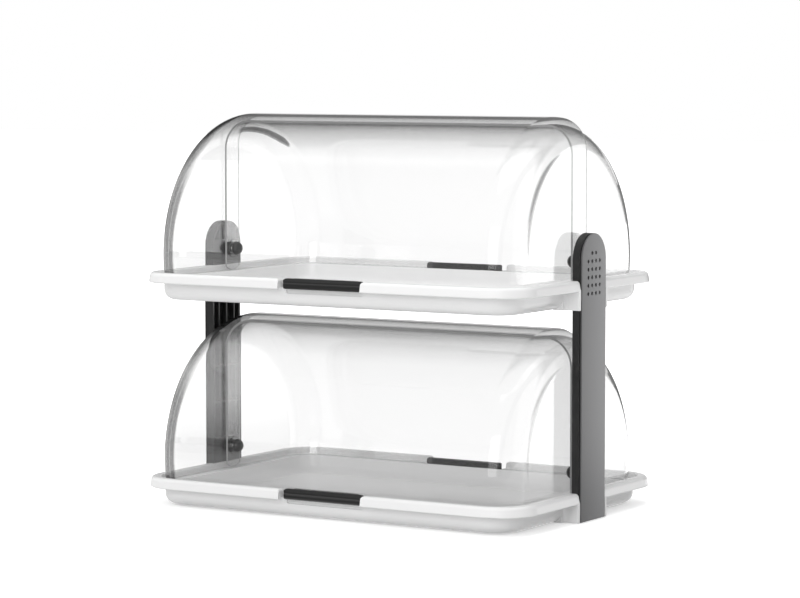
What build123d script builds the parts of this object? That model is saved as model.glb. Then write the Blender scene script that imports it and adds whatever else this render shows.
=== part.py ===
"""Two-tier roll-top bread display bin for a counter.

Two identical trays are carried one above the other by two uprights. Each tray has a front and a back
cover, clear quarter drums that turn about one pair of pivot pins and roll over and under each other.
Millimetres; +X to the right, front at -Y, +Z up. The origin is the middle of the footprint, on the counter.
"""

from build123d import *
import os
from math import atan, degrees, hypot, sqrt

# ---- driving dimensions ----

# Tray
tray_width = 450.0  # over the rim, along X
tray_depth = 308.0  # over the rim, along Y
rim_corner = 41.0  # plan radius of the rim
rim_bottom = 18.5  # rim's lower edge above the foot of the ears
rim_height = 10.5
rim_lean = 2.0  # how far the rim's outer face leans in over its height
rim_round = 4.0  # rounding of the rim's top outer edge
rim_lip_round = 1.2  # rounding of its lower outer edge
rim_inner_round = 1.2  # rounding of its top inner edge
rim_land = 10.0  # from the rim's outer edge to its inner face, front and back
rim_screen = 2.0  # rim left standing between an upright and the covers
rim_skin = 3.0  # wall of the rim round the relief on its underside
relief_depth = 2.0
ledge_drop = 6.0  # ledge that carries the covers, below the rim top
ledge_width = 17.0
basin_inset_x = 15.8  # basin's outer wall in from the rim's edge
basin_inset_y = 12.0
basin_corner = 31.0
basin_round = 10.5  # rounding under the basin
floor_gap = 0.9  # basin above the foot of the ears
floor_thickness = 3.6
well_corner = 20.0
well_round = 9.0
well_draft = 5.0  # degrees
foot_diameter = 16.0
foot_recess = 0.6  # depth of the seat of each foot pad
foot_inset = 48.0  # foot pads in from the basin's outer wall

# Uprights
tier_gap = 21.5  # from the top of a closed cover up to the feet of the tray above
upright_width = 51.0
upright_head = 29.0  # upright's top above the upper pivot
body_thickness = 8.0
plate_thickness = 2.5
plate_proud = 0.5  # face plate beyond the rim
plate_edge_round = 0.8
groove_width = 1.6  # shadow groove between body and face plate
groove_depth = 1.8
channel_clearance = 1.0  # upright in the ear's channel, each side
ear_cheek = 3.5
ear_fillet = 5.0
body_skin = 2.5  # floor of the ribbed pockets, next to the face plate
body_wall = 2.5  # wall round the pockets
rib_thickness = 1.5
rib_count = 3  # lengthwise
rib_pitch = 14.0
cross_rib_count = 3
block_above_pivot = 9.3  # solid block that carries the pivot pin
vent_diameter = 4.0
vent_pitch = 8.0
vent_rows = (2, 4, 4, 4, 4, 4)  # holes in each row, from the top
vent_drop = 19.5  # top row below the upright's top
peg_diameter = 4.0
peg_length = 2.0
peg_clearance = 0.05
peg_end_clearance = 0.2

# Covers
cover_wall = 2.2
cover_room = 2.8  # between the foot of a front cover and the rim
drum_round = 32.5  # rounding between drum and end wall
nest_gap = 5.0  # between the front cover's inside and the back cover's outside
end_gap = 0.8  # the same between their end walls
side_room = 5.0  # between the front cover's end wall and the upright
pivot_height = 46.0  # above the foot of the ears
cover_overlap = 12.8  # each cover past the middle
seat_clearance = 0.3  # covers above the ledge
swing_clearance = 0.3

# Pivots
pin_diameter = 8.0
running_clearance = 0.06  # radial
knob_diameter = 14.3
knob_height = 7.1
neck_diameter = 10.0
neck_length = 1.6
side_play = 0.2  # between neighbours along the pin
boss_diameter = 20.0
inner_boss_height = 1.0  # on the back cover's inside
outer_boss_height = 0.8  # on the front cover's outside
pad_boss_height = 0.4  # on the back cover's outside
disc_diameter = 17.0
pin_seat = 4.0  # length of pin in the upright

# Handles
handle_length = 93.0
handle_height = 10.3
front_handle_reach = 5.0  # face of a front handle beyond its cover's radius
back_handle_clearance = 0.6  # back handle's corner inside the front cover, on its way under it
handle_grip = 2.0  # leg inside the cover
handle_edge = 1.0  # chamfer along the edges
handle_lip = 2.0  # height of the plain band along the foot
grip_length = 74.0
handle_end_round = 3.2
handle_corner = 3.4  # seen from the front
handle_bead = 4.2  # height of the sloped bead along the top
handle_bead_edge = 1.6  # height of the bead's lower chamfer
handle_crest = 1.2  # bead's top edge beyond the cover's radius
handle_groove = 0.8  # depth of the hollow between bead and band
clip_clearance = 0.05
notch_clearance = 1.6  # each end of a handle in the rim's notch
notch_floor_clearance = 0.5
notch_back_clearance = 0.5  # behind a handle
notch_round = 3.0
scoop_height = 4.5  # finger scoop in the basin's wall under a notch
scoop_depth = 2.0
scoop_corner = 2.0

# Screws
screw_diameter = 3.0
screw_head_diameter = 5.6
screw_head_height = 2.2
screw_key = 2.5  # across the flats of the hexagon socket
screw_key_depth = 1.2
screw_clearance = 0.2  # radial, in a plain hole
thread_clearance = 0.02  # radial, in a threaded hole
screw_recess = 0.3  # head below the face of the body
tray_screw_grip = 9.0  # length of a tray screw inside the ear
tray_screw_height = 11.0
tray_screw_spread = 26.0
pin_screw_grip = 6.0  # length of a pivot screw inside the pin

# Modelling
overrun = 1.0  # how far a cutter runs past the face it cuts

# ---- derived places ----

sides = {"left": -1, "right": 1}
rim_top = rim_bottom + rim_height
ledge_height = rim_top - ledge_drop
basin_width = tray_width - 2 * basin_inset_x
basin_depth = tray_depth - 2 * basin_inset_y
well_width = tray_width - 2 * (rim_land + ledge_width)
well_depth = tray_depth - 2 * (rim_land + ledge_width)
floor_top = floor_gap + floor_thickness

cover_foot = ledge_height + seat_clearance
foot_drop = pivot_height - cover_foot
drum_radius = hypot(tray_depth / 2 - rim_land - cover_room, foot_drop)  # outside of a front cover
back_radius = drum_radius - cover_wall - nest_gap
back_round = drum_round - cover_wall - end_gap
swing_radius = pivot_height - ledge_height - swing_clearance

tier_spacing = pivot_height + drum_radius + tier_gap
tier_bases = {"lower": 0.0, "upper": tier_spacing}
upright_height = tier_spacing + pivot_height + upright_head
plate_face = tray_width / 2 + plate_proud
plate_back = plate_face - plate_thickness
upright_face = plate_back - body_thickness
land = (2 * (upright_face - rim_screen), tray_depth - 2 * rim_land)  # inside the rim
block_top = pivot_height + block_above_pivot
pocket_step = (tier_spacing - body_wall - block_top + rib_thickness) / (cross_rib_count + 1)
pocket_start = block_top - rib_thickness / 2
pocket_middles = [pocket_start + (i + 0.5) * pocket_step for i in range(cross_rib_count + 1)]
peg_heights = [(tray_screw_height + pivot_height) / 2, *pocket_middles[1:]]

front_end = upright_face - side_room
back_end = front_end - cover_wall - end_gap
notch_floor = rim_top - handle_height - notch_floor_clearance
notch_length = handle_length + 2 * notch_clearance
handle_top = rim_top - pivot_height
handle_bottom = handle_top - handle_height
front_handle_face = drum_radius + front_handle_reach
back_handle_face = sqrt((drum_radius - cover_wall - back_handle_clearance) ** 2 - handle_bottom**2)

disc_inner = front_end + outer_boss_height + side_play
neck_face = back_end - cover_wall - inner_boss_height - side_play
knob_face = neck_face - neck_length

# ---- helpers ----


def box_between(low, high):
    """A box from its lowest to its highest corner."""
    size = [b - a for a, b in zip(low, high)]
    return Pos(*low) * Box(*size, align=(Align.MIN, Align.MIN, Align.MIN))


def plan_slab(width, depth, corner, bottom, height, draft=0.0):
    """A rounded rectangle raised from a height, leaning in by the draft angle."""
    return extrude(Pos(0, 0, bottom) * RectangleRounded(width, depth, corner), height, taper=draft)


def along_x(radius, start, end, y=0.0, z=0.0):
    """A round bar along X between two places."""
    low, high = sorted((start, end))
    bar = Cylinder(radius, high - low, align=(Align.CENTER, Align.CENTER, Align.MIN))
    return Pos(low, y, z) * (Rot(0, 90, 0) * bar)


def side_profile(sketch, start, end):
    """A profile drawn as (Y, Z) and run along X between two places."""
    return extrude(Plane.YZ.offset(start) * sketch, end - start)


def at_side(shape, side):
    """A piece drawn for the right, turned about for the left."""
    return shape if side > 0 else Rot(0, 0, 180) * shape


# ---- tray ----


def rim():
    """The rim's ring, leaning in to its rounded top, with a relief on its underside."""
    lean = degrees(atan(rim_lean / rim_height))
    bar = plan_slab(tray_width, tray_depth, rim_corner, rim_bottom, rim_height, lean)
    bar = fillet(bar.edges().group_by(Axis.Z)[-1], rim_round)
    bar = fillet(bar.edges().group_by(Axis.Z)[0], rim_lip_round)
    bar -= plan_slab(*land, rim_corner - rim_land, rim_bottom - overrun, rim_height + 2 * overrun)
    top_face = bar.faces().sort_by(Axis.Z)[-1]
    bar = fillet(top_face.inner_wires()[0].edges(), rim_inner_round)
    inside = tray_width - 2 * rim_skin, tray_depth - 2 * rim_skin
    return bar - plan_slab(*inside, rim_corner - rim_skin, rim_bottom - overrun, relief_depth + overrun)


def basin():
    """The basin's outer body, rounded underneath, with the ledge that carries the covers."""
    body = plan_slab(basin_width, basin_depth, basin_corner, floor_gap, ledge_height - floor_gap)
    body = fillet(body.edges().group_by(Axis.Z)[0], basin_round)
    relief_top = rim_bottom + relief_depth
    return body + plan_slab(*land, rim_corner - rim_land, relief_top, ledge_height - relief_top)


def well():
    """The hollow of the basin, drafted and rounded at its floor."""
    cutter = extrude(
        Pos(0, 0, ledge_height) * RectangleRounded(well_width, well_depth, well_corner),
        floor_top - ledge_height,
        taper=well_draft,
    )
    return fillet(cutter.edges().group_by(Axis.Z)[0], well_round)


def ear():
    """The block at the middle of a short side, faired into the basin with concave corners."""
    half = upright_width / 2 + channel_clearance + ear_cheek
    wall = basin_width / 2
    root = wall - basin_round
    with BuildSketch() as plan:
        with BuildLine():
            Line((tray_width / 2, -half), (tray_width / 2, half))
            Line((tray_width / 2, half), (wall + ear_fillet, half))
            RadiusArc((wall + ear_fillet, half), (wall, half + ear_fillet), ear_fillet)
            Line((wall, half + ear_fillet), (root, half + ear_fillet))
            Line((root, half + ear_fillet), (root, -half - ear_fillet))
            Line((root, -half - ear_fillet), (wall, -half - ear_fillet))
            RadiusArc((wall, -half - ear_fillet), (wall + ear_fillet, -half), ear_fillet)
            Line((wall + ear_fillet, -half), (tray_width / 2, -half))
        make_face()
    return extrude(plan.sketch, rim_bottom + relief_depth)


def channel():
    """The way of an upright through an ear and the rim."""
    half = upright_width / 2 + channel_clearance
    outer = tray_width / 2 + overrun
    return box_between((upright_face, -half, -overrun), (outer, half, rim_top + overrun))


def notch(radius):
    """The dip in the front rim for the handle of a cover of a given radius, with rounded shoulders."""
    half = notch_length / 2
    shoulder = half + notch_round
    above = rim_top + overrun
    with BuildSketch() as front:
        with BuildLine():
            Line((-shoulder, above), (-shoulder, rim_top))
            RadiusArc((-shoulder, rim_top), (-half, rim_top - notch_round), notch_round)
            Polyline(
                (-half, rim_top - notch_round),
                (-half, notch_floor),
                (half, notch_floor),
                (half, rim_top - notch_round),
            )
            RadiusArc((half, rim_top - notch_round), (shoulder, rim_top), notch_round)
            Polyline((shoulder, rim_top), (shoulder, above), (-shoulder, above))
        make_face()
    outer = tray_depth / 2 + overrun
    inner = handle_inner(radius) - notch_back_clearance
    return extrude(Plane.XZ.offset(outer) * front.sketch, inner - outer)


def scoop():
    """A finger scoop in the front of the basin, under the notch."""
    front = Pos(0, notch_floor - scoop_height / 2) * RectangleRounded(
        notch_length - 2 * notch_round, scoop_height, scoop_corner
    )
    start = basin_depth / 2 + overrun
    return extrude(Plane.XZ.offset(start) * front, -(scoop_depth + overrun))


def foot_places():
    """Plan places of the foot pads."""
    x = basin_width / 2 - foot_inset
    y = basin_depth / 2 - foot_inset
    return [(i * x, j * y) for i in (-1, 1) for j in (-1, 1)]


def tray_screw_places():
    """Y of the screws that hold an upright to one ear."""
    return (-tray_screw_spread / 2, tray_screw_spread / 2)


def tray():
    """One moulded tray, its ears' feet at height 0."""
    body = rim() + basin() + ear() + Rot(0, 0, 180) * ear() - well()
    screw_end = upright_face - tray_screw_grip - screw_clearance
    thread = screw_diameter / 2 + thread_clearance
    for turn, radius in ((0, drum_radius), (180, back_radius)):
        about = Rot(0, 0, turn)
        body -= about * notch(radius)
        body -= about * scoop()
        body -= about * channel()
        for y in tray_screw_places():
            body -= about * along_x(thread, screw_end, upright_face, y, tray_screw_height)
    for pad in foot_pads():
        body -= pad
    return body


def foot_pads():
    """Four stick-on pads, let into the underside of a basin."""
    height = floor_gap + foot_recess
    pad = Cylinder(foot_diameter / 2, height, align=(Align.CENTER, Align.CENTER, Align.MIN))
    return [Pos(x, y, 0) * pad for x, y in foot_places()]


# ---- uprights ----


def upright_outline(inset=0.0):
    """The (Y, Z) outline of an upright, a strip with a round head."""
    half = upright_width / 2
    strip = Pos(0, (upright_height - half + inset) / 2) * Rectangle(
        upright_width - 2 * inset, upright_height - half - inset
    )
    return strip + Pos(0, upright_height - half) * Circle(half - inset)


def pocket_cells():
    """The (Y, Z) cells of the ribbed pocket between the two blocks."""
    half = upright_width / 2 - body_wall
    ribs = [(i - (rib_count - 1) / 2) * rib_pitch for i in range(rib_count)]
    edges = [-half, *[y + d * rib_thickness / 2 for y in ribs for d in (-1, 1)], half]
    return [
        Pos((low + high) / 2, middle) * Rectangle(high - low, pocket_step - rib_thickness)
        for low, high in zip(edges[::2], edges[1::2])
        for middle in pocket_middles
    ]


def upright_body():
    """The ribbed body of the right upright, open towards the covers."""
    body = side_profile(upright_outline(), upright_face, plate_back)
    pocket_depth = body_thickness - body_skin
    for cell in pocket_cells():
        body -= side_profile(cell, upright_face, upright_face + pocket_depth)
    head = upright_outline(body_wall) & (
        Pos(0, tier_spacing + block_top + upright_height / 2) * Rectangle(upright_width, upright_height)
    )
    for i in range(rib_count):
        rib = Pos((i - (rib_count - 1) / 2) * rib_pitch, upright_height / 2)
        head -= rib * Rectangle(rib_thickness, upright_height)
    body -= side_profile(head, upright_face, upright_face + pocket_depth)
    for base in tier_bases.values():
        z = base + pivot_height
        body -= along_x(pin_diameter / 2 + thread_clearance, upright_face, upright_face + pin_seat, 0, z)
        body -= screw_way(0, z)
        for y in tray_screw_places():
            body -= screw_way(y, base + tray_screw_height)
    socket_floor = plate_back - peg_length - peg_end_clearance
    for z in peg_heights:
        body -= along_x(peg_diameter / 2 + peg_clearance, socket_floor, plate_back, 0, z)
    return body


def screw_way(y, z):
    """The plain hole and head seat of a screw that enters from behind the face plate."""
    seat = plate_back - screw_recess - screw_head_height
    hole = along_x(screw_diameter / 2 + screw_clearance, upright_face - overrun, seat, y, z)
    return hole + along_x(screw_head_diameter / 2 + screw_clearance, seat, plate_back + overrun, y, z)


def face_plate():
    """The outer plate of the right upright, with its vent pattern and snap pegs."""
    plate = side_profile(upright_outline(), plate_back + groove_width, plate_face)
    plate = fillet(plate.faces().sort_by(Axis.X)[-1].edges(), plate_edge_round)
    plate += side_profile(upright_outline(groove_depth), plate_back, plate_back + groove_width)
    for row, count in enumerate(vent_rows):
        for i in range(count):
            y = (i - (count - 1) / 2) * vent_pitch
            z = upright_height - vent_drop - row * vent_pitch
            plate -= along_x(vent_diameter / 2, plate_back - overrun, plate_face + overrun, y, z)
    for z in peg_heights:
        plate += along_x(peg_diameter / 2, plate_back - peg_length, plate_back, 0, z)
    return plate


# ---- screws ----


def screw(start, grip_end, y, z):
    """A cap screw along X, its head's outer face at start."""
    head_end = start - screw_head_height
    body = along_x(screw_head_diameter / 2, head_end, start, y, z)
    body += along_x(screw_diameter / 2, grip_end, head_end, y, z)
    socket = Plane.YZ.offset(start) * (Pos(y, z) * RegularPolygon(screw_key / 2, 6, major_radius=False))
    return body - extrude(socket, -screw_key_depth)


def screw_group(heights, places, grip_end):
    """One screw for each height, place and side."""
    start = plate_back - screw_recess
    group = []
    for z in heights:
        for y in places:
            for side in sides.values():
                group.append(at_side(screw(start, grip_end, y, z), side))
    return group


# ---- covers ----


def drum(radius, end, rounding):
    """A closed drum about the X axis with rounded ends."""
    with BuildSketch(Plane.XZ) as half:
        with BuildLine():
            Line((-end, 0), (end, 0))
            Line((end, 0), (end, radius - rounding))
            RadiusArc((end, radius - rounding), (end - rounding, radius), -rounding)
            Line((end - rounding, radius), (rounding - end, radius))
            RadiusArc((rounding - end, radius), (-end, radius - rounding), -rounding)
            Line((-end, radius - rounding), (-end, 0))
        make_face()
    return revolve(half.sketch, Axis.X, 360)


def cover(radius, end, rounding, bosses):
    """A cover that closes the front, about the X axis, with (inner face, outer face) of each boss."""
    skin = drum(radius, end, rounding)
    for inner, outer in bosses:
        for side in sides.values():
            skin += along_x(boss_diameter / 2, side * inner, side * outer)
    skin -= drum(radius - cover_wall, end - cover_wall, rounding - cover_wall) - boss_keep(bosses, end)
    reach = radius + overrun
    front = Pos(-reach / 2, (reach - foot_drop) / 2) * Rectangle(reach, reach + foot_drop)
    over = Pos(cover_overlap / 2, reach / 2) * Rectangle(cover_overlap, reach)
    below = Pos(cover_overlap / 2, -foot_drop / 2) * Rectangle(cover_overlap, foot_drop)
    tail = Circle(swing_radius) & below
    skin &= side_profile(front + over + tail, -end - boss_diameter, end + boss_diameter)
    skin -= along_x(pin_diameter / 2 + running_clearance, -end - boss_diameter, end + boss_diameter)
    return skin


def boss_keep(bosses, end):
    """The part of the bosses that stands inside the end walls."""
    keep = None
    for inner, _ in bosses:
        for side in sides.values():
            bar = along_x(boss_diameter / 2, side * inner, side * end)
            keep = bar if keep is None else keep + bar
    return keep


def front_cover():
    """Front cover, outer of the pair, with a boss towards the upright."""
    bosses = [(front_end - cover_wall, front_end + outer_boss_height)]
    return cover(drum_radius, front_end, drum_round, bosses)


def back_cover():
    """Back cover, inner of the pair, with a boss on each face of its end walls."""
    bosses = [(back_end - cover_wall - inner_boss_height, back_end + pad_boss_height)]
    return Rot(0, 0, 180) * cover(back_radius, back_end, back_round, bosses)


# ---- handles ----


def handle_inner(radius):
    """Distance of a handle's inner face from the pivot axis in Y, for a cover of a given radius."""
    return sqrt((radius - cover_wall) ** 2 - foot_drop**2) - handle_grip


def handle(radius, face):
    """Clip-on grip along the foot of a front cover of a given radius, in the cover's frame."""
    inner = -handle_inner(radius)
    lip_top = handle_bottom + handle_lip
    bead_foot = handle_top - handle_bead
    with BuildSketch() as section:
        with BuildLine():
            Polyline(
                (inner, handle_top - handle_edge),
                (inner, handle_bottom),
                (-face + handle_edge, handle_bottom),
                (-face, handle_bottom + handle_edge),
                (-face, lip_top),
            )
            ThreePointArc(
                (-face, lip_top),
                (-face + handle_groove, (lip_top + bead_foot) / 2),
                (-face, bead_foot),
            )
            Polyline(
                (-face, bead_foot),
                (-face + handle_edge, bead_foot + handle_bead_edge),
                (-radius - handle_crest, handle_top),
                (inner + handle_edge, handle_top),
                (inner, handle_top - handle_edge),
            )
        make_face()
    bar = side_profile(section.sketch, -handle_length / 2, handle_length / 2)
    middle = -(radius - cover_wall / 2)
    outline = Pos(0, (inner - face) / 2) * Rectangle(handle_length, inner + face)
    outline = fillet(outline.vertices().group_by(Axis.Y)[0], handle_end_round)
    long_part = Pos(0, (middle - face) / 2) * Rectangle(handle_length, middle + face)
    outline &= long_part + Pos(0, (inner + middle) / 2) * Rectangle(grip_length, inner - middle)
    bar &= extrude(Pos(0, 0, handle_bottom) * outline, handle_height)
    front = Pos(0, handle_bottom + handle_height / 2) * RectangleRounded(handle_length, handle_height, handle_corner)
    bar &= extrude(Plane.XZ * front, face + overrun)
    slot = along_x(radius + clip_clearance, -handle_length, handle_length)
    slot -= along_x(radius - cover_wall - clip_clearance, -handle_length, handle_length)
    slot &= box_between(
        (-handle_length, -radius - overrun, -foot_drop),
        (handle_length, 0, handle_top + overrun),
    )
    return bar - slot


# ---- pivots ----


def pivot_pin():
    """Right pin, about the X axis: domed knob, neck, and a shank into the upright with a threaded end."""
    dome_radius = ((knob_diameter / 2) ** 2 + knob_height**2) / (2 * knob_height)
    ball = Pos(knob_face - knob_height + dome_radius, 0, 0) * Sphere(dome_radius)
    knob = ball & along_x(knob_diameter, knob_face - knob_height - overrun, knob_face)
    pin = knob + along_x(neck_diameter / 2, knob_face, neck_face)
    tip = upright_face + pin_seat
    pin += along_x(pin_diameter / 2, neck_face, tip)
    return pin - along_x(screw_diameter / 2 + thread_clearance, tip - pin_screw_grip - screw_clearance, tip)


def pivot_disc():
    """Right spacer disc between the front cover's boss and the upright, about the X axis."""
    disc = along_x(disc_diameter / 2, disc_inner, upright_face)
    return disc - along_x(pin_diameter / 2 + running_clearance, disc_inner, upright_face)


# ---- the bin ----

nodes = {}
tray_screw_end = upright_face - tray_screw_grip

for tier, base in tier_bases.items():
    pivot = Pos(0, 0, base + pivot_height)
    nodes[f"tray_{tier}"] = Pos(0, 0, base) * tray()
    nodes[f"cover_front_{tier}"] = pivot * front_cover()
    nodes[f"cover_back_{tier}"] = pivot * back_cover()
    nodes[f"handle_front_{tier}"] = pivot * handle(drum_radius, front_handle_face)
    nodes[f"handle_back_{tier}"] = pivot * (Rot(0, 0, 180) * handle(back_radius, back_handle_face))
    for name, side in sides.items():
        nodes[f"pivot_pin_{tier}_{name}"] = pivot * at_side(pivot_pin(), side)
        nodes[f"pivot_disc_{tier}_{name}"] = pivot * at_side(pivot_disc(), side)
    height = base + tray_screw_height
    nodes[f"tray_screws_{tier}"] = screw_group([height], tray_screw_places(), tray_screw_end)

for name, side in sides.items():
    nodes[f"upright_{name}"] = at_side(upright_body(), side)
    nodes[f"face_plate_{name}"] = at_side(face_plate(), side)

pin_screw_end = upright_face + pin_seat - pin_screw_grip
pin_heights = [base + pivot_height for base in tier_bases.values()]
nodes["pivot_screws"] = screw_group(pin_heights, (0,), pin_screw_end)
nodes["foot_pads"] = foot_pads()

os.makedirs("parts", exist_ok=True)
for name, shape in nodes.items():
    pieces = shape if isinstance(shape, list) else shape.solids()
    export_step(Compound(children=list(pieces)), f"parts/{name}.step")
    print(name, len(pieces), round(sum(p.volume for p in pieces)))
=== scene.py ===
"""Dresses the two-tier roll-top bread display bin in its finishes, with a plain studio round it.

Laid out as a Blender add-on and run as a script. Metres; +X right, front at -Y, +Z up.
"""

import math

import bmesh
import bpy
from bpy.props import FloatProperty, FloatVectorProperty, PointerProperty
from mathutils import Matrix, Vector


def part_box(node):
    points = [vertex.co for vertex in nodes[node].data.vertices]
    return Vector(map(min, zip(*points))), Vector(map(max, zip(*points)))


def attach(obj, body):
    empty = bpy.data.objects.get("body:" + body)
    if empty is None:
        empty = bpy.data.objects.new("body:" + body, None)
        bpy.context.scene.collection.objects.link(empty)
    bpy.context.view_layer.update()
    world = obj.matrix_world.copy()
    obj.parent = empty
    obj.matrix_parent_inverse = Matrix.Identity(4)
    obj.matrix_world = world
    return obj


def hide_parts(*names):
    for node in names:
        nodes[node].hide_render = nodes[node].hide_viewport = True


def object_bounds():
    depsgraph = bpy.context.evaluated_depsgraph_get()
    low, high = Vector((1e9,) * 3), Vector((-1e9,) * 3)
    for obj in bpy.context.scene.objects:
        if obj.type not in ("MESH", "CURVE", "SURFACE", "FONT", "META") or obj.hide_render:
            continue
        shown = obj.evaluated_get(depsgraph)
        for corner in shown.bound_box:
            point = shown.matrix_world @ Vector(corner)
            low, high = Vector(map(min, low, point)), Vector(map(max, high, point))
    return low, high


bl_info = {
    "name": "Bread display bin",
    "version": (1, 0, 0),
    "blender": (4, 5, 0),
    "location": "3D View > Sidebar > Bread bin",
    "description": "Finishes the parts of a two-tier roll-top bread display bin",
    "category": "Object",
}

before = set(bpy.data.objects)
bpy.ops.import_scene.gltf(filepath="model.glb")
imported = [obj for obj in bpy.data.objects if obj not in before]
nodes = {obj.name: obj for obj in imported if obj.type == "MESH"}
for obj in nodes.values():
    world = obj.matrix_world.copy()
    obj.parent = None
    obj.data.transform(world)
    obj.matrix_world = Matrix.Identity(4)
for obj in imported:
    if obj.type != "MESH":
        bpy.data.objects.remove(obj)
cad_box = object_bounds()

MM = 0.001
TIERS = ("lower", "upper")
SIDES = ("left", "right")
FACES = ("front", "back")

# Refractive indices of cast acrylic and of ABS.
ACRYLIC_IOR = 1.49
ABS_IOR = 1.53

# How far the bosses round a cover's pivot bores stand out of its end walls, outside and inside.
BOSS_RISES = {"front": (0.8 * MM, 0.0), "back": (0.4 * MM, 1.0 * MM)}

# How dark the one painted refraction shade of a cover shows: a painted crescent on a front cover, a painted streak
# on a back one. Both stand in for dark surroundings seen through the sheet.
PAINTED_REFRACTION_DARKNESS = {"front_lower": 0.35, "front_upper": 0.60, "back_lower": 0.0, "back_upper": 0.90}

# How finely the covers are turned and cut, how short an edge is welded away and how near two points are one.
ROUNDING_STEPS = 20
DRUM_STEPS = 320
FOOT_CUTS = 5
SLIVER = 0.6 * MM
SAME_POINT = 1e-6

# A face belongs to an end wall if it lies this near to it and points this straight along X. An edge of a cover is
# rounded if it turns by more than the angle, in radians.
NEAR_WALL = 0.1 * MM
STRAIGHT = 0.9
SHARP_ANGLE = 0.9


# ---- colours and nodes ----


def colour(hex_code, alpha=1.0):
    """An sRGB hex code as the linear RGBA that shader sockets take."""
    channels = [int(hex_code[i : i + 2], 16) / 255 for i in (1, 3, 5)]
    linear = [c / 12.92 if c <= 0.04045 else ((c + 0.055) / 1.055) ** 2.4 for c in channels]
    return (*linear, alpha)


WHITE = colour("#FFFFFF")


def add(tree, kind, inputs=None, stops=None, **settings):
    """Adds a node, with its settings, values or links for its inputs and, on a colour ramp, its stops."""
    node = tree.nodes.new(kind)
    for name, value in settings.items():
        setattr(node, name, value)
    for name, value in (inputs or {}).items():
        if isinstance(value, bpy.types.NodeSocket):
            tree.links.new(value, node.inputs[name])
        else:
            node.inputs[name].default_value = value
    if stops:
        elements = node.color_ramp.elements
        for at in sorted(stops)[1:-1]:
            elements.new(at)
        for element, at in zip(elements, sorted(stops)):
            element.position = at
            element.color = colour(stops[at])
    return node


def product(tree, *factors, easing="SMOOTHSTEP"):
    """Multiplies sockets and ramps. A ramp is a value, its start and end, and the levels it leads from and to."""
    total = None
    for factor in factors:
        if isinstance(factor, tuple):
            ramp = dict(zip(("Value", "From Min", "From Max", "To Min", "To Max"), factor))
            factor = add(tree, "ShaderNodeMapRange", ramp, interpolation_type=easing).outputs[0]
        if total is not None:
            factor = add(tree, "ShaderNodeMath", {0: total, 1: factor}, operation="MULTIPLY").outputs[0]
        total = factor
    return total


def ray_is(tree, *kinds):
    """One where a ray is of any of the given kinds, else nought."""
    path = add(tree, "ShaderNodeLightPath")
    found = path.outputs[kinds[0]]
    for kind in kinds[1:]:
        found = add(tree, "ShaderNodeMath", {0: found, 1: path.outputs[kind]}, operation="MAXIMUM").outputs[0]
    return found


def is_mirrored(tree):
    """One where a ray came off a shiny surface. One that only went through the clear covers doesn't count."""
    bounces = add(tree, "ShaderNodeLightPath").outputs["Glossy Depth"]
    return add(tree, "ShaderNodeMath", {0: bounces, 1: 0.5}, operation="GREATER_THAN").outputs[0]


def blank(name):
    """A material with an empty node tree, and its tree."""
    material = bpy.data.materials.new(name)
    material.use_nodes = True
    material.node_tree.nodes.clear()
    return material, material.node_tree


def dress(names, material):
    """Gives CAD nodes a material."""
    for name in names:
        slots = nodes[name].data.materials
        slots.clear()
        slots.append(material)


def place(shape, name, *materials):
    """Makes an object of a finished bmesh, smooth but for its sharp edges."""
    mesh = bpy.data.meshes.new(name)
    shape.to_mesh(mesh)
    shape.free()
    mesh.shade_smooth()
    mesh.set_sharp_from_angle(angle=math.radians(40))
    for material in materials:
        mesh.materials.append(material)
    piece = bpy.data.objects.new(name, mesh)
    bpy.context.scene.collection.objects.link(piece)
    return piece


# ---- materials ----


def white_abs(code):
    """Injection-moulded white ABS, polished tool: glossy, with a faint waviness about 70 mm long."""
    material, tree = blank("white_abs_moulded")
    where = add(tree, "ShaderNodeTexCoord").outputs["Object"]
    wave = add(tree, "ShaderNodeTexNoise", {"Vector": where, "Scale": 1 / (71.4 * MM), "Detail": 1.0})
    bump = add(tree, "ShaderNodeBump", {"Height": wave.outputs["Fac"], "Strength": 0.02, "Distance": 2.0 * MM})
    gloss = add(tree, "ShaderNodeMapRange", {"Value": wave.outputs["Fac"], "To Min": 0.18, "To Max": 0.26})
    shader = add(
        tree,
        "ShaderNodeBsdfPrincipled",
        {
            "Base Color": code,
            "Roughness": gloss.outputs["Result"],
            "IOR": ABS_IOR,
            "Normal": bump.outputs["Normal"],
        },
    )
    add(tree, "ShaderNodeOutputMaterial", {"Surface": shader.outputs[0]})
    return material


def painted_refraction_crescent(tree, pivot, end):
    """Painted shade: a grey crescent on the right-hand end wall, standing in for dark surroundings refracted through
    it.

    It lies inside one circle and outside another. Each is given by its centre, back and up from the pivot, and by
    the two radii and the two levels that the shade fades between.
    """
    where = add(tree, "ShaderNodeTexCoord").outputs["Object"]
    x = add(tree, "ShaderNodeSeparateXYZ", {0: where}).outputs["X"]
    side = add(tree, "ShaderNodeVectorMath", {0: where, 1: (0.0, 1.0, 1.0)}, operation="MULTIPLY").outputs[0]
    crisp_edge = (-19.2 * MM, 22.6 * MM, 87.2 * MM, 88.1 * MM, 1.0, 0.0)
    soft_edge = (7.5 * MM, 5.8 * MM, 110.3 * MM, 115.0 * MM, 0.0, 1.0)
    end_wall = (x, end - 4.0 * MM, end - 2.8 * MM, 0.0, 1.0)
    ramps = []
    for back, up, *ramp in (crisp_edge, soft_edge):
        reach = add(tree, "ShaderNodeVectorMath", {0: side, 1: (0.0, back, pivot + up)}, operation="DISTANCE")
        ramps.append((reach.outputs["Value"], *ramp))
    return product(tree, *ramps, end_wall)


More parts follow.
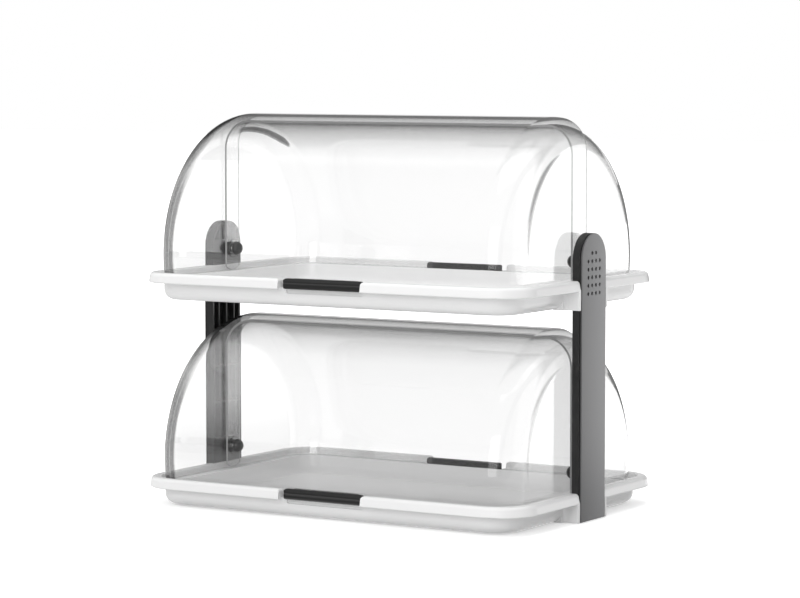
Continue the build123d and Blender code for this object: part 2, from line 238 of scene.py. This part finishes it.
def painted_refraction_streak(tree, end):
    """Painted shade: a ragged grey streak along the left-hand rounding, near the top, standing in for dark
    surroundings refracted through it.

    It follows a slanting line a little way in from the end wall, grows thicker to the back and closes to a point.
    """
    where = add(tree, "ShaderNodeTexCoord").outputs["Object"]
    y = add(tree, "ShaderNodeSeparateXYZ", {0: where}).outputs["Y"]
    slant, inboard, thicker = -0.160, 8.6 * MM, -0.03
    grain, raggedness = 6.0 * MM, 2.0 * MM
    line = add(tree, "ShaderNodeVectorMath", {0: where, 1: (1.0, slant, 0.0)}, operation="DOT_PRODUCT")
    across = add(tree, "ShaderNodeMath", {0: line.outputs["Value"], 1: end - inboard}, operation="ADD")
    off = add(tree, "ShaderNodeMath", {0: across.outputs[0]}, operation="ABSOLUTE")
    noise = add(tree, "ShaderNodeTexNoise", {"Vector": where, "Scale": 1 / grain, "Detail": 2.0})
    closing = product(tree, (y, 64.0 * MM, 82.0 * MM, 0.0, 3.0 * MM))
    shares = add(tree, "ShaderNodeCombineXYZ", {"X": noise.outputs["Fac"], "Y": y, "Z": closing})
    more = add(
        tree,
        "ShaderNodeVectorMath",
        {0: shares.outputs[0], 1: (raggedness, thicker, 1.0)},
        operation="DOT_PRODUCT",
    )
    off = add(tree, "ShaderNodeMath", {0: off.outputs[0], 1: more.outputs["Value"]}, operation="ADD").outputs[0]
    sides = (off, 2.4 * MM, 3.2 * MM, 1.0, 0.0)
    front_end = (y, -2.0 * MM, 6.0 * MM, 0.0, 1.0)
    back_end = (y, 76.0 * MM, 80.0 * MM, 1.0, 0.0)
    return product(tree, sides, front_end, back_end)


def clear_acrylic(name, face, pivot, end, corner, refraction_darkness):
    """Clear formed acrylic: polished, water-clear, greying where sight runs along the sheet.

    The greys follow facing, which is nought where sight meets the sheet square on and one where it runs along it. On
    a front cover a painted shade greys the roundings sooner, paler higher up, standing in for dark surroundings seen
    through them. Refraction darkness is how dark the cover's painted refraction shade shows.
    """
    material, tree = blank(name)
    facing = add(tree, "ShaderNodeLayerWeight", {"Blend": 0.5}).outputs["Facing"]
    sheet = {0.40: "#FFFFFF", 0.60: "#E2E2E2", 0.79: "#C6C6C6", 0.89: "#585858"}
    tint = add(tree, "ShaderNodeValToRGB", {"Fac": facing}, sheet).outputs["Color"]
    # Painted shade: a front cover's roundings grey sooner, paler higher up, standing in for dark surroundings seen
    # through them.
    if face == "front":
        where = add(tree, "ShaderNodeSeparateXYZ", {0: add(tree, "ShaderNodeTexCoord").outputs["Object"]})
        out = add(tree, "ShaderNodeMath", {0: where.outputs["X"]}, operation="ABSOLUTE").outputs[0]
        rounding = (out, end - 1.05 * corner, end - 0.8 * corner, 0.0, 1.0)
        short_of_end_wall = (out, end - 4.4 * MM, end - 2.6 * MM, 1.0, 0.0)
        less_above = (where.outputs["Z"], pivot + 60.0 * MM, pivot + 120.0 * MM, 1.0, 0.3)
        painted_rounding_shade = {
            0.26: "#FFFFFF",
            0.32: "#585858",
            0.43: "#585858",
            0.49: "#A8A8A8",
            0.56: "#A8A8A8",
            0.63: "#626262",
            0.87: "#4A4A4A",
        }
        tint = add(
            tree,
            "ShaderNodeMix",
            {
                "Factor": product(tree, rounding, short_of_end_wall, less_above),
                "A": tint,
                "B": add(tree, "ShaderNodeValToRGB", {"Fac": facing}, painted_rounding_shade).outputs["Color"],
            },
            data_type="RGBA",
            blend_type="MULTIPLY",
        ).outputs["Result"]
    if refraction_darkness:
        # Painted shade: a grey crescent or streak, standing in for dark surroundings refracted through the sheet.
        painted_shade = painted_refraction_crescent(tree, pivot, end) if face == "front" else painted_refraction_streak(tree, end)
        unshaded = add(tree, "ShaderNodeMath", {0: painted_shade, 1: -refraction_darkness, 2: 1.0}, operation="MULTIPLY_ADD").outputs[0]
        tint = add(tree, "ShaderNodeVectorMath", {0: tint, "Scale": unshaded}, operation="SCALE").outputs[0]
    glass = add(
        tree,
        "ShaderNodeBsdfPrincipled",
        {"Base Color": tint, "Roughness": 0.0, "IOR": ACRYLIC_IOR, "Transmission Weight": 1.0},
    )
    # Light that reaches other pieces goes straight through, so that the trays are lit evenly and without specks.
    clear = add(tree, "ShaderNodeBsdfTransparent", {"Color": colour("#F9F9F9")})
    straight = ray_is(tree, "Is Shadow Ray", "Is Diffuse Ray")
    surface = add(tree, "ShaderNodeMixShader", {0: straight, 1: glass.outputs[0], 2: clear.outputs[0]})
    volume = add(tree, "ShaderNodeVolumeAbsorption", {"Color": colour("#D8D8D8"), "Density": 12.0})
    add(tree, "ShaderNodeOutputMaterial", {"Surface": surface.outputs[0], "Volume": volume.outputs[0]})
    return material


def sawn_acrylic():
    """Routed edge of the acrylic: fine cutter marks leave it frosted, so it shows as a pale grey line."""
    material, tree = blank("acrylic_routed_edge")
    where = add(tree, "ShaderNodeTexCoord").outputs["Object"]
    marks = add(tree, "ShaderNodeTexNoise", {"Vector": where, "Scale": 1 / (0.4 * MM), "Detail": 1.0})
    bump = add(tree, "ShaderNodeBump", {"Height": marks.outputs["Fac"], "Strength": 0.3, "Distance": 0.02 * MM})
    shader = add(
        tree,
        "ShaderNodeBsdfPrincipled",
        {
            "Base Color": colour("#A6A6A6"),
            "Roughness": 0.35,
            "IOR": ACRYLIC_IOR,
            "Normal": bump.outputs["Normal"],
        },
    )
    add(tree, "ShaderNodeOutputMaterial", {"Surface": shader.outputs[0]})
    return material


def satin_plastic(name, code, roughness, shine=0.5, grain=0.35 * MM, depth=0.02 * MM):
    """Moulded plastic with a fine spark-eroded grain of a given size, which softens its reflections."""
    material, tree = blank(name)
    where = add(tree, "ShaderNodeTexCoord").outputs["Object"]
    noise = add(tree, "ShaderNodeTexNoise", {"Vector": where, "Scale": 1 / grain, "Detail": 2.0})
    bump = add(tree, "ShaderNodeBump", {"Height": noise.outputs["Fac"], "Strength": 0.35, "Distance": depth})
    shader = add(
        tree,
        "ShaderNodeBsdfPrincipled",
        {
            "Base Color": code,
            "Roughness": roughness,
            "IOR": ABS_IOR,
            "Specular IOR Level": shine,
            "Normal": bump.outputs["Normal"],
        },
    )
    add(tree, "ShaderNodeOutputMaterial", {"Surface": shader.outputs[0]})
    return material


def plate_plastic(code, half_width):
    """Grey moulded ABS with a fine satin grain and a painted sheen: its colour runs lighter from the front edge to
    the back edge, standing in for the bright backdrop mirrored there.
    """
    material = satin_plastic("grey_abs_satin", code, roughness=0.42)
    tree = material.node_tree
    y = add(tree, "ShaderNodeSeparateXYZ", {0: add(tree, "ShaderNodeTexCoord").outputs["Object"]}).outputs["Y"]
    # Painted sheen: the colour lightens towards the back edge, where the bright backdrop would be mirrored.
    painted_sheen = product(tree, (y, -half_width, half_width, 0.95, 2.6), easing="LINEAR")
    shade = add(tree, "ShaderNodeVectorMath", {0: code[:3], "Scale": painted_sheen}, operation="SCALE")
    tree.links.new(shade.outputs["Vector"], tree.nodes["Principled BSDF"].inputs["Base Color"])
    return material


# ---- covers ----


def cover_skin(radius, end, corner, foot, overlap, bore, boss):
    """Outer skin of a cover that closes the front, about the X axis: a drum with rounded ends, trimmed.

    Foot is how far below the axis the cover ends, and overlap how far past the top it reaches. The skin has an edge
    round the bore and one round the boss, for the wall and the boss to grow from.
    """
    shape = bmesh.new()
    wall = [shape.verts.new((end, 0, r)) for r in (bore, boss, foot, radius - corner)]
    for pair in zip(wall, wall[1:]):
        shape.edges.new(pair)
    turned = bmesh.ops.spin(
        shape,
        geom=[wall[-1]],
        cent=(end - corner, 0, radius - corner),
        axis=(0, -1, 0),
        angle=math.pi / 2,
        steps=ROUNDING_STEPS,
    )
    last = [v for v in turned["geom_last"] if isinstance(v, bmesh.types.BMVert)][0]
    shape.edges.new((last, shape.verts.new((0, 0, radius))))
    bmesh.ops.mirror(shape, geom=shape.verts[:] + shape.edges[:], axis="X", merge_dist=SAME_POINT)
    bmesh.ops.spin(
        shape,
        geom=shape.verts[:] + shape.edges[:],
        cent=(0, 0, 0),
        axis=(1, 0, 0),
        angle=2 * math.pi,
        steps=DRUM_STEPS,
        use_merge=True,
    )
    # The foot is flat and the edge past the top upright. Their corner on the end walls is cut round, about the axis.
    cuts = [((0, 0, -foot), (0, 0, -1)), ((0, overlap, 0), (0, 1, 0))]
    for k in range(FOOT_CUTS):
        turn = math.asin(overlap / foot) * (k + 0.5) / FOOT_CUTS
        cuts.append(((0, foot * math.sin(turn), -foot * math.cos(turn)), (0, math.sin(turn), -math.cos(turn))))
    for point, normal in cuts:
        bmesh.ops.bisect_plane(
            shape,
            geom=shape.verts[:] + shape.edges[:] + shape.faces[:],
            dist=SAME_POINT,
            plane_co=point,
            plane_no=normal,
            clear_outer=True,
        )
    weld = {}
    for edge in shape.edges:
        a, b = edge.verts
        if edge.calc_length() < SLIVER and a.is_boundary != b.is_boundary:
            inner, rim = (a, b) if b.is_boundary else (b, a)
            weld[inner] = rim
    bmesh.ops.weld_verts(shape, targetmap=weld)
    bmesh.ops.recalc_face_normals(shape, faces=shape.faces[:])
    return shape


def cover_shell(shape, end, wall, boss, outside, inside, edge):
    """Gives a cover's skin its wall, the bosses round its bores and small rounded edges.

    Faces cut by the router get the second material.
    """
    skin = set(shape.faces)
    trimmed = {v for v in shape.verts if v.is_boundary and v.co.yz.length > boss}
    bmesh.ops.solidify(shape, geom=shape.faces[:], thickness=wall)
    for face in shape.faces:
        if face not in skin and not trimmed.isdisjoint(face.verts):
            face.material_index = 1
    for wall_x, rise in ((end, outside), (end - wall, -inside)):
        if not rise:
            continue
        for side in (-1, 1):
            ring = [
                f
                for f in shape.faces
                if abs(f.calc_center_median().x - side * wall_x) < NEAR_WALL
                and abs(f.normal.x) > STRAIGHT
                and f.calc_center_median().yz.length < boss
            ]
            grown = bmesh.ops.extrude_face_region(shape, geom=ring)["geom"]
            moved = [v for v in grown if isinstance(v, bmesh.types.BMVert)]
            bmesh.ops.translate(shape, vec=(side * rise, 0, 0), verts=moved)
            bmesh.ops.delete(shape, geom=ring, context="FACES")
    shape.normal_update()
    bmesh.ops.bevel(
        shape,
        geom=[e for e in shape.edges if e.calc_face_angle(0) > SHARP_ANGLE],
        offset=edge,
        affect="EDGES",
        segments=2,
        profile=0.5,
        material=-1,
        clamp_overlap=True,
    )


# ---- sizes and colours ----


class BinSizes(bpy.types.PropertyGroup):
    """Sizes and colours of the finish"""

    wall: FloatProperty(
        name="Cover wall", description="Thickness of a clear cover", default=0.0022, unit="LENGTH"
    )
    edge: FloatProperty(
        name="Cover edge", description="Rounding of a cover's cut edges", default=0.0004, unit="LENGTH"
    )
    front_corner: FloatProperty(
        name="Front corner", description="Rounding at the ends of a front cover", default=0.0325, unit="LENGTH"
    )
    back_corner: FloatProperty(
        name="Back corner", description="Rounding at the ends of a back cover", default=0.0295, unit="LENGTH"
    )
    boss: FloatProperty(
        name="Boss", description="Diameter of the bosses round a pivot", default=0.020, unit="LENGTH"
    )
    bore: FloatProperty(
        name="Bore", description="Diameter of a cover's pivot bore", default=0.00812, unit="LENGTH"
    )
    tray: FloatVectorProperty(
        name="Trays", description="Tray plastic", subtype="COLOR", size=4, default=colour("#F1F1F1")
    )
    fitting: FloatVectorProperty(
        name="Handles", description="Handle and knob plastic", subtype="COLOR", size=4, default=colour("#161616")
    )
    upright: FloatVectorProperty(
        name="Uprights", description="Upright plastic", subtype="COLOR", size=4, default=colour("#242424")
    )
    plate: FloatVectorProperty(
        name="Face plates", description="Face plate plastic", subtype="COLOR", size=4, default=colour("#545455")
    )
    pad: FloatVectorProperty(
        name="Foot pads", description="Foot pad rubber", subtype="COLOR", size=4, default=colour("#8A8A88")
    )


# ---- operators ----


class BIN_OT_trays(bpy.types.Operator):
    """Finish the two trays"""

    bl_idname = "bin.trays"
    bl_label = "Trays"

    def execute(self, context):
        dress([f"tray_{t}" for t in TIERS], white_abs(context.scene.bread_bin.tray))
        return {"FINISHED"}


class BIN_OT_covers(bpy.types.Operator):
    """Make the four clear covers"""

    bl_idname = "bin.covers"
    bl_label = "Covers"

    def execute(self, context):
        size = context.scene.bread_bin
        routed = sawn_acrylic()
        corners = {"front": size.front_corner, "back": size.back_corner}
        for face in FACES:
            outside, inside = BOSS_RISES[face]
            for tier in TIERS:
                node = f"cover_{face}_{tier}"
                low, high = (Vector(c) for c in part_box(node))
                radius = -low.y if face == "front" else high.y
                overlap = high.y if face == "front" else -low.y
                pivot = high.z - radius
                end = high.x - outside
                shape = cover_skin(
                    radius, end, corners[face], pivot - low.z, overlap, size.bore / 2, size.boss / 2
                )
                cover_shell(shape, end, size.wall, size.boss / 2, outside, inside, size.edge)
                refraction_darkness = PAINTED_REFRACTION_DARKNESS[f"{face}_{tier}"]
                acrylic = clear_acrylic(f"clear_acrylic_{face}_{tier}", face, pivot, end, corners[face], refraction_darkness)
                turn = Matrix.Rotation(math.pi if face == "back" else 0.0, 4, "Z")
                shape.transform(Matrix.Translation((0, 0, pivot)) @ turn)
                piece = place(shape, f"clear_{node}", acrylic, routed)
                piece.modifiers.new("even_normals", "WEIGHTED_NORMAL").keep_sharp = True
                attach(piece, f"{face}_cover_{tier}")
                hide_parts(node)
        return {"FINISHED"}


class BIN_OT_fittings(bpy.types.Operator):
    """Finish the handles, pivots, uprights and screws"""

    bl_idname = "bin.fittings"
    bl_label = "Fittings"

    def execute(self, context):
        size = context.scene.bread_bin
        names = [f"handle_{f}_{t}" for f in FACES for t in TIERS]
        names += [f"{p}_{t}_{s}" for p in ("pivot_pin", "pivot_disc") for t in TIERS for s in SIDES]
        names += ["tray_screws_lower", "tray_screws_upper", "pivot_screws"]
        dress(names, satin_plastic("black_abs_satin", size.fitting, roughness=0.28))
        uprights = satin_plastic("black_abs_upright", size.upright, roughness=0.40, shine=0.4)
        dress([f"upright_{s}" for s in SIDES], uprights)
        dress([f"face_plate_{s}" for s in SIDES], plate_plastic(size.plate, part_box("face_plate_left")[1][1]))
        pads = satin_plastic("grey_rubber_pad", size.pad, roughness=0.8, grain=0.5 * MM, depth=0.05 * MM)
        dress(["foot_pads"], pads)
        return {"FINISHED"}


# ---- stage ----

# Half the floor's width, and the gap that keeps it clear of the foot pads.
FLOOR_REACH = 12.0
FLOOR_GAP = 0.5 * MM

# Brightness of the white that shows through the clear covers, which makes up for what they take.
THROUGH_WHITE = 1.06

# Where the camera stands, how it is turned, in degrees, its lens and sensor, in millimetres, and how far it sees.
CAMERA_AT = (1.637474, -2.682866, 0.461957)
CAMERA_TURN = (85.433, 0.0, 31.384)
CAMERA_LENS = 138.22
CAMERA_SENSOR = 36.0
CAMERA_SIGHT = 50.0

# The lamps: place, width and power.
LAMPS = {"overhead": ((0.2, -0.3, 2.0), 1.4, 12.0), "front": ((0.8, -2.6, 0.8), 1.5, 22.0)}
LAMPS_FACE = (0, 0, 0.2)


def studio_floor():
    """A pale floor that keeps the object's shadow and otherwise runs into the white background.

    Through the clear covers it is plain white. Mirrored in them, it is dimmer behind the bin's left half and far in
    front of it, and has a glare behind the right half.
    """
    shape = bmesh.new()
    bmesh.ops.create_grid(shape, x_segments=1, y_segments=1, size=FLOOR_REACH)
    bmesh.ops.translate(shape, vec=(0, 0, cad_box[0][2] - FLOOR_GAP), verts=shape.verts[:])
    material, tree = blank("white_backdrop")
    where = add(tree, "ShaderNodeTexCoord").outputs["Object"]

    bounce = add(
        tree,
        "ShaderNodeMix",
        {"Factor": ray_is(tree, "Is Diffuse Ray"), "A": colour("#F4F4F4"), "B": colour("#CFCFCF")},
        data_type="RGBA",
    )
    diffuse = add(tree, "ShaderNodeBsdfDiffuse", {"Color": bounce.outputs["Result"]})
    reach = add(tree, "ShaderNodeVectorMath", {0: where}, operation="LENGTH").outputs["Value"]
    paler_away = (reach, 0.3, 1.2, 0.42, 0.74)
    lift = product(tree, ray_is(tree, "Is Camera Ray"), paler_away, easing="LINEAR")
    glow = add(tree, "ShaderNodeEmission", {"Color": WHITE, "Strength": lift})
    lifted = add(tree, "ShaderNodeAddShader", {0: diffuse.outputs[0], 1: glow.outputs[0]})

    y = add(tree, "ShaderNodeSeparateXYZ", {0: where}).outputs["Y"]
    across, slanting = (
        add(tree, "ShaderNodeVectorMath", {0: where, 1: (1.0, lean, 0.0)}, operation="DOT_PRODUCT").outputs["Value"]
        for lean in (-0.1, 1.2)
    )
    dim_behind = (y, 0.16, 0.22, 0.0, 1.0)
    dim_left = (across, -0.20, -0.02, -0.9, 0.0)
    dim_from_corner = (slanting, -0.5, -0.3, 0.0, 1.0)
    glare_behind = (y, 0.20, 0.50, 0.0, 1.0)
    glare_right = (across, 0.0, 0.25, 0.0, 1.3)
    dim_in_front = (y, -0.6, -0.3, -0.5, 0.0)
    patches = product(tree, dim_in_front, easing="LINEAR")
    for ramps in ((dim_behind, dim_left, dim_from_corner), (glare_behind, glare_right)):
        patch = product(tree, *ramps, easing="LINEAR")
        patches = add(tree, "ShaderNodeMath", {0: patches, 1: patch}, operation="ADD").outputs[0]
    level = {0: is_mirrored(tree), 1: patches, 2: THROUGH_WHITE}
    level = add(tree, "ShaderNodeMath", level, operation="MULTIPLY_ADD").outputs[0]
    white = add(tree, "ShaderNodeEmission", {"Color": WHITE, "Strength": level})
    unseen = ray_is(tree, "Is Glossy Ray", "Is Transmission Ray")
    mixed = add(tree, "ShaderNodeMixShader", {0: unseen, 1: lifted.outputs[0], 2: white.outputs[0]})
    add(tree, "ShaderNodeOutputMaterial", {"Surface": mixed.outputs[0]})
    place(shape, "floor", material)


def studio_world(scene):
    """White to the eye, softer to matt surfaces, and a room of cards to whatever mirrors it.

    The cards are given by direction: X and Y to the sides and Z up, each from -1 to 1.
    """
    world = bpy.data.worlds.new("studio")
    scene.world = world
    world.use_nodes = True
    tree = world.node_tree
    tree.nodes.clear()
    x, y, z = add(tree, "ShaderNodeSeparateXYZ", {0: add(tree, "ShaderNodeTexCoord").outputs["Generated"]}).outputs
    out = add(tree, "ShaderNodeMath", {0: x}, operation="ABSOLUTE").outputs[0]

    # A narrow dark card stands at each side. One behind starts above the horizon and pales overhead, with a strip
    # below it on the left, and is broken by a bright window on the right. The room's front half is grey.
    side_starts = product(tree, (out, 0.55, 0.58, 1.0, 0.25))
    side_ends = product(tree, (out, 0.70, 0.76, 0.0, 1.0))
    sides = add(tree, "ShaderNodeMath", {0: side_starts, 1: side_ends}, operation="MAXIMUM").outputs[0]
    behind = (y, -0.03, 0.03, 0.0, 1.0)
    from_left = (x, -0.90, -0.80, 0.0, 1.0)
    to_right = (x, 0.60, 0.75, 1.0, 0.0)
    above_horizon = product(tree, (z, 0.12, 0.16, 0.0, 1.0))
    strip = product(tree, (z, 0.045, 0.055, 1.0, 0.0), (x, 0.10, 0.25, 1.0, 0.0))
    card = add(tree, "ShaderNodeMath", {0: above_horizon, 1: strip}, operation="MAXIMUM").outputs[0]
    card = product(tree, card, behind, from_left, to_right)
    shade = product(tree, (z, 0.60, 0.90, -0.74, -0.20))
    room = add(tree, "ShaderNodeMath", {0: card, 1: shade, 2: 1.0}, operation="MULTIPLY_ADD").outputs[0]
    front_half = (y, -0.20, 0.0, 0.56, 1.0)
    room = product(tree, sides, room, front_half)
    window = product(tree, behind, (x, 0.25, 0.45, 0.0, 1.3), to_right)
    room = add(tree, "ShaderNodeMath", {0: window, 1: room, 2: room}, operation="MULTIPLY_ADD").outputs[0]

    more_from_above, more_from_left = (z, -0.2, 0.9, 0.52, 1.0), (x, -0.6, 1.0, 1.06, 0.52)
    soft = product(tree, more_from_above, more_from_left)
    plain = product(tree, (ray_is(tree, "Is Camera Ray"), 0.0, 1.0, THROUGH_WHITE, 1.0), easing="LINEAR")
    seen, mirrored, lit = (
        add(tree, "ShaderNodeBackground", {"Color": WHITE, "Strength": strength}).outputs[0]
        for strength in (plain, room, soft)
    )
    shown = add(tree, "ShaderNodeMixShader", {0: is_mirrored(tree), 1: seen, 2: mirrored})
    mixed = add(tree, "ShaderNodeMixShader", {0: ray_is(tree, "Is Diffuse Ray"), 1: shown.outputs[0], 2: lit})
    add(tree, "ShaderNodeOutputWorld", {"Surface": mixed.outputs[0]})


def lamp(scene, name, at, size, watts):
    """A square soft lamp that faces the bin and doesn't show in reflections."""
    data = bpy.data.lights.new(name, "AREA")
    data.size = size
    data.energy = watts
    item = bpy.data.objects.new(name, data)
    item.location = at
    item.rotation_euler = (Vector(LAMPS_FACE) - Vector(at)).to_track_quat("-Z", "Y").to_euler()
    item.visible_glossy = False
    scene.collection.objects.link(item)


class BIN_OT_stage(bpy.types.Operator):
    """Set the floor, the light and the camera"""

    bl_idname = "bin.stage"
    bl_label = "Stage"

    def execute(self, context):
        scene = context.scene
        studio_floor()
        studio_world(scene)
        for name, (at, size, watts) in LAMPS.items():
            lamp(scene, name, at, size, watts)
        camera_data = bpy.data.cameras.new("camera")
        camera_data.lens = CAMERA_LENS
        camera_data.sensor_width = CAMERA_SENSOR
        camera_data.clip_end = CAMERA_SIGHT
        camera = bpy.data.objects.new("camera", camera_data)
        camera.location = CAMERA_AT
        camera.rotation_euler = [math.radians(angle) for angle in CAMERA_TURN]
        scene.collection.objects.link(camera)
        scene.camera = camera
        scene.view_settings.view_transform = "Standard"
        return {"FINISHED"}


class BIN_PT_panel(bpy.types.Panel):
    """Lists the bin's sizes, colours and pieces"""

    bl_idname = "BIN_PT_panel"
    bl_label = "Bread bin"
    bl_space_type = "VIEW_3D"
    bl_region_type = "UI"
    bl_category = "Bread bin"

    def draw(self, context):
        for name in BinSizes.__annotations__:
            self.layout.prop(context.scene.bread_bin, name)
        for name in STEPS:
            self.layout.operator(f"bin.{name}")


STEPS = ("stage", "trays", "covers", "fittings")
classes = (BinSizes, BIN_OT_trays, BIN_OT_covers, BIN_OT_fittings, BIN_OT_stage, BIN_PT_panel)


def register():
    """Makes the classes and the sizes known to Blender."""
    for cls in classes:
        bpy.utils.register_class(cls)
    bpy.types.Scene.bread_bin = PointerProperty(type=BinSizes)


def unregister():
    """Takes the sizes and the classes away again."""
    del bpy.types.Scene.bread_bin
    for cls in reversed(classes):
        bpy.utils.unregister_class(cls)


def main():
    """Builds the scene step by step."""
    register()
    for name in STEPS:
        getattr(bpy.ops.bin, name)()


if __name__ == "__main__":
    main()
